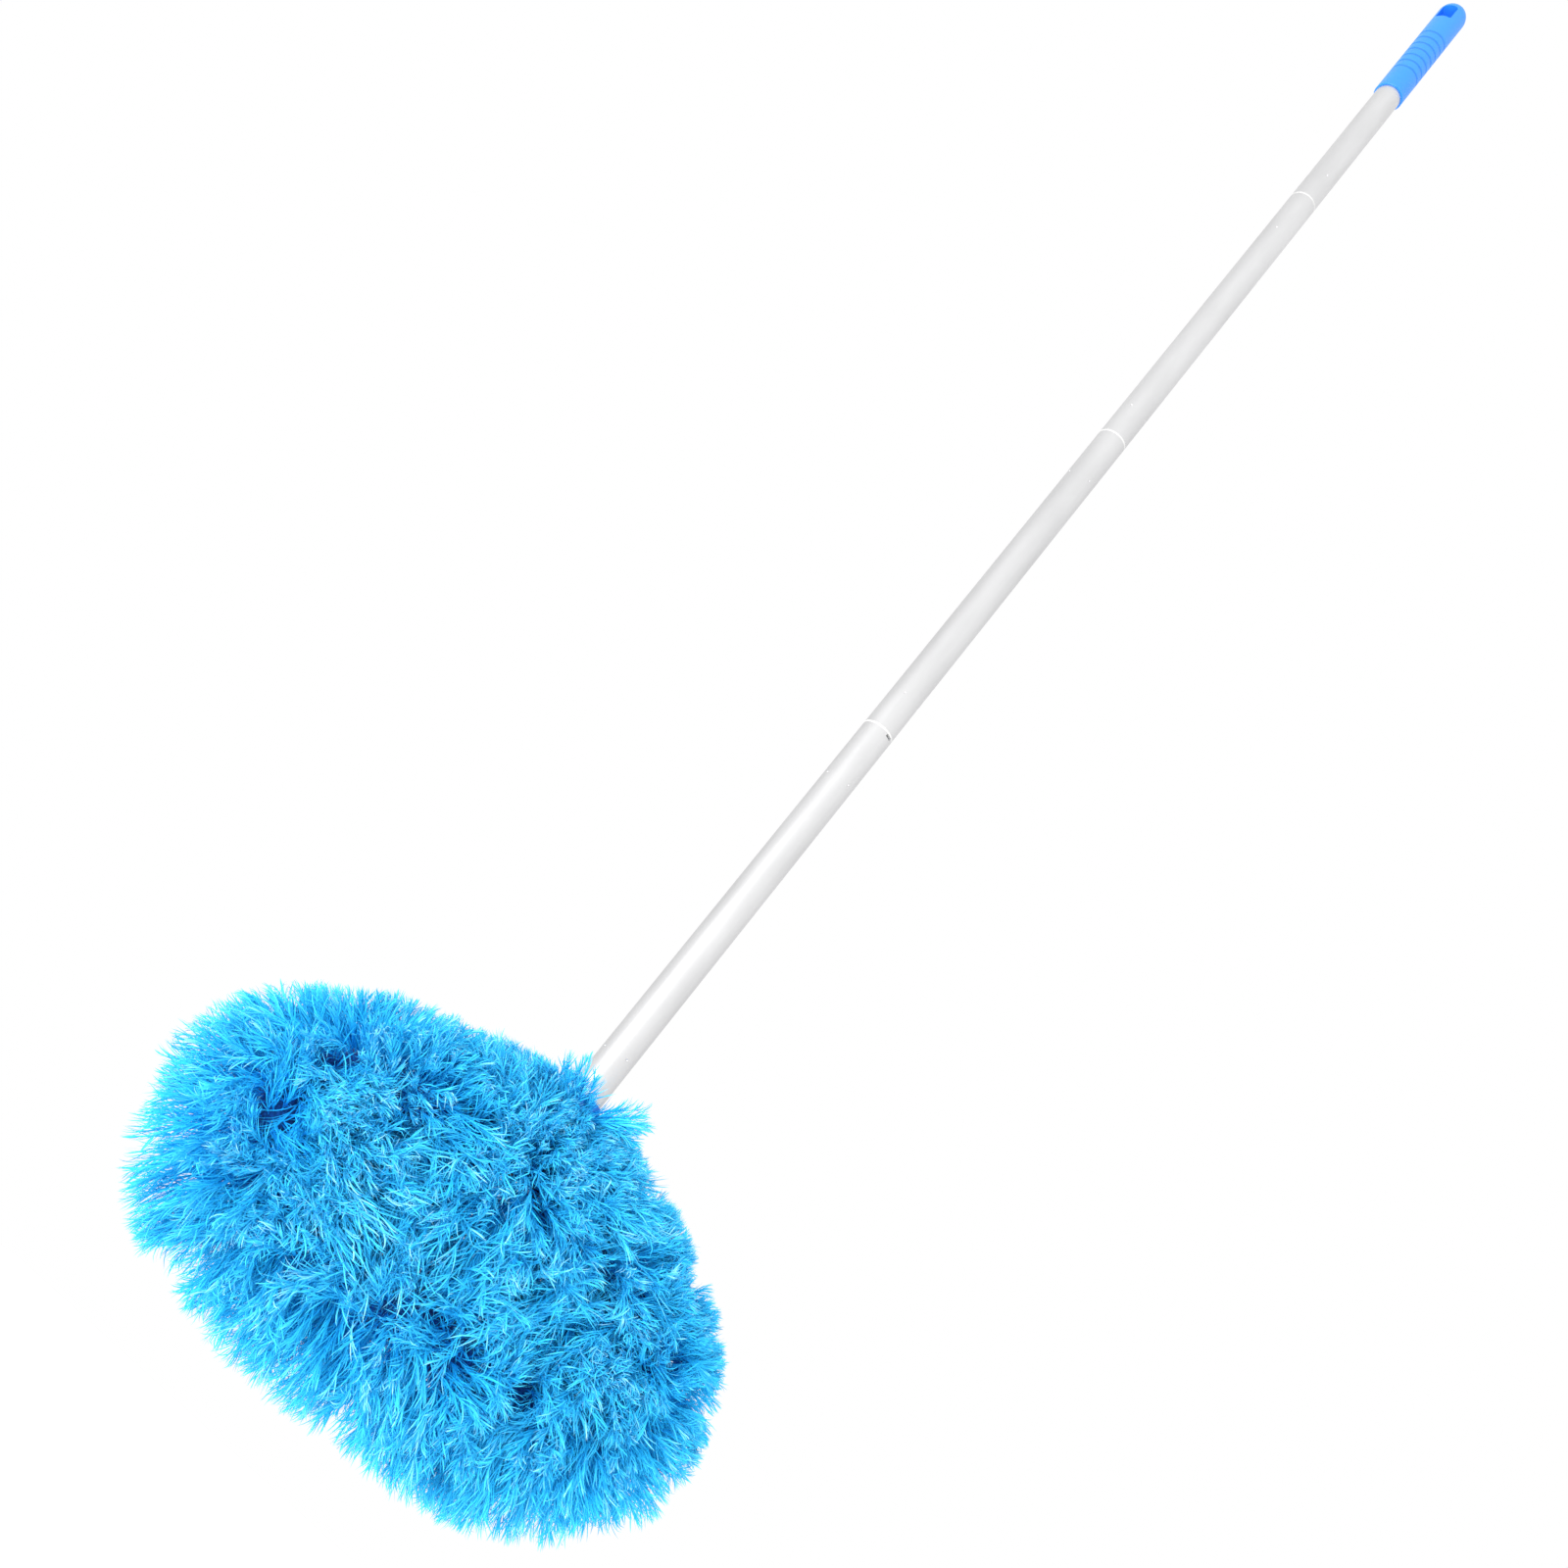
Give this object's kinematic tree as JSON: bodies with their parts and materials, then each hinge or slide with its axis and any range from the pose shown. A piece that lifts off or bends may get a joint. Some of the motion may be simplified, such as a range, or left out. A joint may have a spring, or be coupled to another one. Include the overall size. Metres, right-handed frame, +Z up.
{
  "type": "feather duster",
  "caption": "Fluffy blue microfibre duster: a flat oval loop head on a silver pole of screw-together tubes, with a ribbed blue grip and hanging slot.",
  "frame": {"origin": "centre of the hanging slot in the grip", "axes": "+Z up the pole towards the grip's tip, the pole hanging down from the slot with the head lowest; +Y through the hanging slot, along the hook it hangs on"},
  "size_m": [0.3172, 0.3298, 1.4225],
  "materials": {
    "grip_plastic": "satin",
    "pole_tube": "satin",
    "insert_plastic": "satin",
    "washer_nylon": "satin",
    "neck_plastic": "satin",
    "spring_wire": "satin",
    "foam": "matte",
    "knit_backing": "matte",
    "elastic": "matte",
    "microfibre_pile": "matte"
  },
  "bodies": {
    "grip_section": {"grip": "grip_plastic", "tube_4": "pole_tube", "plug_4": "insert_plastic"},
    "washer_ring_4": {"washer_4": "washer_nylon"},
    "lower_pole": {"tube_3": "pole_tube", "bush_3": "insert_plastic", "plug_3": "insert_plastic", "tube_2": "pole_tube", "bush_2": "insert_plastic", "plug_2": "insert_plastic", "tube_1": "pole_tube", "bush_1": "insert_plastic", "plug_1": "insert_plastic", "washer_3": "washer_nylon", "washer_2": "washer_nylon"},
    "washer_ring_1": {"washer_1": "washer_nylon"},
    "head": {"neck_socket": "neck_plastic", "frame_loop": "spring_wire", "foam_sleeve": "foam", "cover_backing": "knit_backing", "neck_cuff": "elastic", "pile": "microfibre_pile"}
  },
  "joints": [
    {"name": "unscrew_4", "type": "hinge", "parent": "grip_section", "child": "washer_ring_4", "pos_m": [0, 0, -0.2725], "axis": [0, 0, -1], "range_deg": [0, 1800]},
    {"name": "thread_travel_4", "type": "slide", "parent": "washer_ring_4", "child": "lower_pole", "axis": [0, 0, -1], "range_m": [0, 0.0251]},
    {"name": "unscrew_1", "type": "hinge", "parent": "lower_pole", "child": "washer_ring_1", "pos_m": [0, 0, -1.1725], "axis": [0, 0, -1], "range_deg": [0, 1800]},
    {"name": "thread_travel_1", "type": "slide", "parent": "washer_ring_1", "child": "head", "axis": [0, 0, -1], "range_m": [0, 0.0251]}
  ],
  "couplings": [
    {"joint": "thread_travel_4", "follows": "unscrew_4", "m_per_rad": 0.00079577},
    {"joint": "thread_travel_1", "follows": "unscrew_1", "m_per_rad": 0.00079577}
  ]
}
